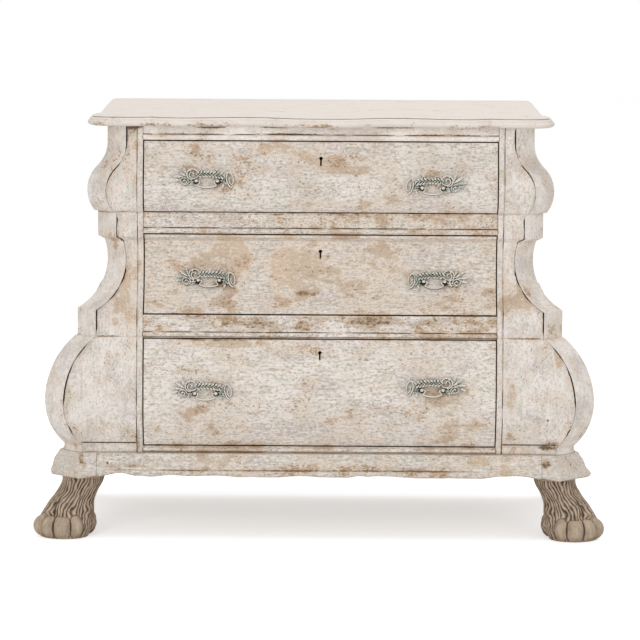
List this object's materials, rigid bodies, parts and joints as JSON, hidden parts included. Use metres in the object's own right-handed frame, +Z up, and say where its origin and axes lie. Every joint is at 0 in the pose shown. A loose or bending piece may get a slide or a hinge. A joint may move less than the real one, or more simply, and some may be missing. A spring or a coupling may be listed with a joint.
{
  "type": "bombe chest of drawers",
  "caption": "Bombe chest of drawers in distressed painted wood, with swelling sides and front, a serpentine moulded top, cast bail handles and carved paw feet.",
  "frame": {"origin": "on the floor, under the middle of the chest's overall box", "axes": "+X to the viewer's right along the front, +Y from the front to the back, +Z up"},
  "size_m": [1.1482, 0.5836, 0.8478],
  "materials": {
    "painted_wood": "distressed chalky paint",
    "bare_wood": "raw, aged",
    "carved_wood": "worn, stripped",
    "patinated_metal": "aged, green patina",
    "iron": "dull, dark"
  },
  "bodies": {
    "case": {"right_pilaster": "painted_wood", "left_pilaster": "painted_wood", "right_side": "painted_wood", "left_side": "painted_wood", "right_stile": "painted_wood", "left_stile": "painted_wood", "right_side_plinth": "painted_wood", "left_side_plinth": "painted_wood", "right_plinth_block": "painted_wood", "left_plinth_block": "painted_wood", "base_rail": "painted_wood", "lower_rail": "painted_wood", "upper_rail": "painted_wood", "frieze_rail": "painted_wood", "top_board": "painted_wood", "front_plinth": "painted_wood", "right_lower_runner": "bare_wood", "left_lower_runner": "bare_wood", "right_upper_runner": "bare_wood", "left_upper_runner": "bare_wood", "right_rear_foot": "bare_wood", "left_rear_foot": "bare_wood", "bottom_board": "bare_wood", "back_panel": "bare_wood", "right_front_foot": "carved_wood", "left_front_foot": "carved_wood"},
    "bottom_drawer": {"bottom_drawer_front": "painted_wood", "bottom_drawer_bottom": "bare_wood", "bottom_drawer_back": "bare_wood", "bottom_drawer_side_right": "bare_wood", "bottom_drawer_side_left": "bare_wood", "bottom_lock": "iron", "bottom_handle_plate_right": "patinated_metal", "bottom_handle_plate_left": "patinated_metal"},
    "bottom_bolt": {"bottom_lock_bolt": "iron"},
    "bottom_bail_right": {"bottom_handle_bail_right": "patinated_metal"},
    "bottom_bail_left": {"bottom_handle_bail_left": "patinated_metal"},
    "middle_drawer": {"middle_drawer_front": "painted_wood", "middle_drawer_bottom": "bare_wood", "middle_drawer_back": "bare_wood", "middle_drawer_side_right": "bare_wood", "middle_drawer_side_left": "bare_wood", "middle_lock": "iron", "middle_handle_plate_right": "patinated_metal", "middle_handle_plate_left": "patinated_metal"},
    "middle_bolt": {"middle_lock_bolt": "iron"},
    "middle_bail_right": {"middle_handle_bail_right": "patinated_metal"},
    "middle_bail_left": {"middle_handle_bail_left": "patinated_metal"},
    "top_drawer": {"top_drawer_front": "painted_wood", "top_drawer_bottom": "bare_wood", "top_drawer_back": "bare_wood", "top_drawer_side_right": "bare_wood", "top_drawer_side_left": "bare_wood", "top_lock": "iron", "top_handle_plate_right": "patinated_metal", "top_handle_plate_left": "patinated_metal"},
    "top_bolt": {"top_lock_bolt": "iron"},
    "top_bail_right": {"top_handle_bail_right": "patinated_metal"},
    "top_bail_left": {"top_handle_bail_left": "patinated_metal"}
  },
  "joints": [
    {"name": "bottom_drawer_slide", "type": "slide", "parent": "case", "child": "bottom_drawer", "axis": [0, -1, 0], "range_m": [0, 0.34]},
    {"name": "bottom_bolt_slide", "type": "slide", "parent": "bottom_drawer", "child": "bottom_bolt", "axis": [0, 0, 1], "range_m": [0, 0.008]},
    {"name": "bottom_bail_right_hinge", "type": "hinge", "parent": "bottom_drawer", "child": "bottom_bail_right", "pos_m": [0.22508, -0.26069, 0.30403], "axis": [-1, 0, 0], "range_deg": [0, 80]},
    {"name": "bottom_bail_left_hinge", "type": "hinge", "parent": "bottom_drawer", "child": "bottom_bail_left", "pos_m": [-0.22808, -0.26114, 0.29502], "axis": [-1, 0, 0], "range_deg": [0, 80]},
    {"name": "middle_drawer_slide", "type": "slide", "parent": "case", "child": "middle_drawer", "axis": [0, -1, 0], "range_m": [0, 0.34]},
    {"name": "middle_bolt_slide", "type": "slide", "parent": "middle_drawer", "child": "middle_bolt", "axis": [0, 0, 1], "range_m": [0, 0.008]},
    {"name": "middle_bail_right_hinge", "type": "hinge", "parent": "middle_drawer", "child": "middle_bail_right", "pos_m": [0.22808, -0.2104, 0.51585], "axis": [-1, 0, 0], "range_deg": [0, 80]},
    {"name": "middle_bail_left_hinge", "type": "hinge", "parent": "middle_drawer", "child": "middle_bail_left", "pos_m": [-0.22308, -0.2104, 0.51585], "axis": [-1, 0, 0], "range_deg": [0, 80]},
    {"name": "top_drawer_slide", "type": "slide", "parent": "case", "child": "top_drawer", "axis": [0, -1, 0], "range_m": [0, 0.34]},
    {"name": "top_bolt_slide", "type": "slide", "parent": "top_drawer", "child": "top_bolt", "axis": [0, 0, 1], "range_m": [0, 0.008]},
    {"name": "top_bail_right_hinge", "type": "hinge", "parent": "top_drawer", "child": "top_bail_right", "pos_m": [0.22208, -0.25021, 0.70801], "axis": [-1, 0, 0], "range_deg": [0, 80]},
    {"name": "top_bail_left_hinge", "type": "hinge", "parent": "top_drawer", "child": "top_bail_left", "pos_m": [-0.22608, -0.24906, 0.719], "axis": [-1, 0, 0], "range_deg": [0, 80]}
  ]
}
